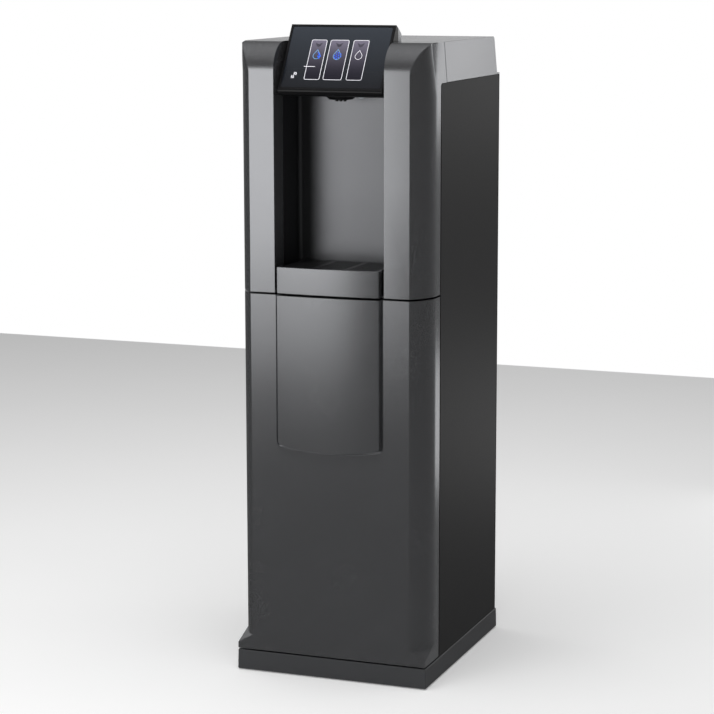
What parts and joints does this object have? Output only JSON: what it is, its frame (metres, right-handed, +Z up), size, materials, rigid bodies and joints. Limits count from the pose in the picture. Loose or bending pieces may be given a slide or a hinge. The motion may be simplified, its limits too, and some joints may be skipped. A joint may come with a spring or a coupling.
{
  "type": "water dispenser",
  "caption": "Floor-standing water dispenser: lit dispensing alcove over a drip tray, slanted touch head, lower service door, water and gas equipment inside.",
  "frame": {"origin": "middle of the footprint, on the floor under the feet", "axes": "+Z up, -Y out of the front face with the door, +X to the viewer's right as they face it"},
  "size_m": [0.34, 0.407, 1.093],
  "materials": {
    "body_plastic": "satin anthracite moulding with a fine grain",
    "plinth_plastic": "matt dark grey moulding",
    "dark_panel": "smooth dark grey powder coat",
    "black_plastic": "black moulding",
    "alcove_plastic": "satin grey moulding",
    "screen_glass": "black back-printed glass",
    "circuit_board": "green solder mask",
    "clear_plastic": "frosted clear lens",
    "zinc_steel": "zinc-plated sheet steel",
    "stainless": "brushed stainless steel",
    "foam": "moulded insulation foam",
    "copper": "drawn copper tube",
    "brass": "turned brass",
    "aluminium": "bare aluminium fins",
    "white_plastic": "white moulding",
    "milky_plastic": "milky translucent plastic",
    "cylinder_paint": "grey enamel",
    "blue_plastic": "blue moulding",
    "rubber": "black rubber",
    "black_iron": "black enamelled pressing"
  },
  "bodies": {
    "cabinet": {"plinth": "plinth_plastic", "cylinder_strap": "rubber", "gas_line": "rubber", "floor_pan": "zinc_steel", "door_frame": "zinc_steel", "hinge_bracket_top": "zinc_steel", "hinge_bracket_bottom": "zinc_steel", "mid_shelf": "zinc_steel", "water_pump": "zinc_steel", "side_panel_left": "dark_panel", "side_panel_right": "dark_panel", "rear_panel": "dark_panel", "top_cover": "body_plastic", "front_fascia": "body_plastic", "alcove_liner": "alcove_plastic", "head_bezel": "black_plastic", "head_rear_cover": "black_plastic", "head_base": "black_plastic", "nozzle": "black_plastic", "magnet_catch": "black_plastic", "fan_shroud": "black_plastic", "mains_inlet": "black_plastic", "touch_glass": "screen_glass", "display_board": "circuit_board", "nozzle_light_lens": "clear_plastic", "valve_block": "white_plastic", "control_box": "white_plastic", "cold_tank": "foam", "cold_tank_lid": "foam", "carbonator": "stainless", "pressure_gauge": "stainless", "dispense_line": "milky_plastic", "waste_tank": "milky_plastic", "drain_hose": "milky_plastic", "compressor": "black_iron", "condenser": "aluminium", "filter_head": "blue_plastic", "inlet_line": "blue_plastic", "gas_cylinder": "cylinder_paint", "gas_valve": "brass", "regulator_body": "brass", "inlet_fitting": "brass", "refrigerant_line": "copper"},
    "door": {"door_shell": "body_plastic", "apron_panel": "body_plastic", "door_liner": "white_plastic", "strike_plate": "zinc_steel"},
    "drip_tray": {"drip_tray_front": "body_plastic", "drip_tray_basin": "black_plastic"},
    "grille": {"drip_grille": "black_plastic"},
    "fan": {"fan_rotor": "black_plastic"},
    "valve_wheel": {"gas_handwheel": "black_plastic"},
    "regulator_dial": {"regulator_knob": "black_plastic"},
    "filter": {"filter_cartridge": "white_plastic"},
    "tank_float": {"waste_float": "blue_plastic"},
    "power_rocker": {"rocker_switch": "black_plastic"},
    "foot_fl": {"foot_front_left": "rubber"},
    "foot_fr": {"foot_front_right": "rubber"},
    "foot_rl": {"foot_rear_left": "rubber"},
    "foot_rr": {"foot_rear_right": "rubber"}
  },
  "joints": [
    {"name": "door_hinge", "type": "hinge", "parent": "cabinet", "child": "door", "pos_m": [-0.161, -0.1295, 0.345], "axis": [0, 0, -1], "range_deg": [0, 110]},
    {"name": "tray_slide", "type": "slide", "parent": "cabinet", "child": "drip_tray", "axis": [0, -1, 0], "range_m": [0, 0.11]},
    {"name": "grille_lift", "type": "slide", "parent": "drip_tray", "child": "grille", "axis": [0, 0, 1], "range_m": [0, 0.04]},
    {"name": "fan_spin", "type": "hinge", "parent": "cabinet", "child": "fan", "pos_m": [-0.07, 0.1335, 0.118], "axis": [0, 1, 0], "continuous": true},
    {"name": "valve_turn", "type": "hinge", "parent": "cabinet", "child": "valve_wheel", "pos_m": [0.112, -0.0425, 0.458], "axis": [0, 0, 1], "range_deg": [0, 720]},
    {"name": "regulator_turn", "type": "hinge", "parent": "cabinet", "child": "regulator_dial", "pos_m": [0.04, -0.0425, 0.4323], "axis": [1, 0, 0], "range_deg": [0, 1080]},
    {"name": "filter_turn", "type": "hinge", "parent": "cabinet", "child": "filter", "pos_m": [-0.112, -0.0425, 0.46], "axis": [0, 0, 1], "range_deg": [0, 90]},
    {"name": "float_rise", "type": "slide", "parent": "cabinet", "child": "tank_float", "axis": [0, 0, 1], "range_m": [0, 0.03]},
    {"name": "rocker_tip", "type": "hinge", "parent": "cabinet", "child": "power_rocker", "pos_m": [0.118, 0.1915, 0.284], "axis": [1, 0, 0], "range_deg": [0, 16]},
    {"name": "foot_fl_turn", "type": "hinge", "parent": "cabinet", "child": "foot_fl", "pos_m": [-0.14, -0.1585, 0.01], "axis": [0, 0, 1], "range_deg": [0, 2880]},
    {"name": "foot_fr_turn", "type": "hinge", "parent": "cabinet", "child": "foot_fr", "pos_m": [0.14, -0.1585, 0.01], "axis": [0, 0, 1], "range_deg": [0, 2880]},
    {"name": "foot_rl_turn", "type": "hinge", "parent": "cabinet", "child": "foot_rl", "pos_m": [-0.14, 0.1695, 0.01], "axis": [0, 0, 1], "range_deg": [0, 2880]},
    {"name": "foot_rr_turn", "type": "hinge", "parent": "cabinet", "child": "foot_rr", "pos_m": [0.14, 0.1695, 0.01], "axis": [0, 0, 1], "range_deg": [0, 2880]}
  ]
}
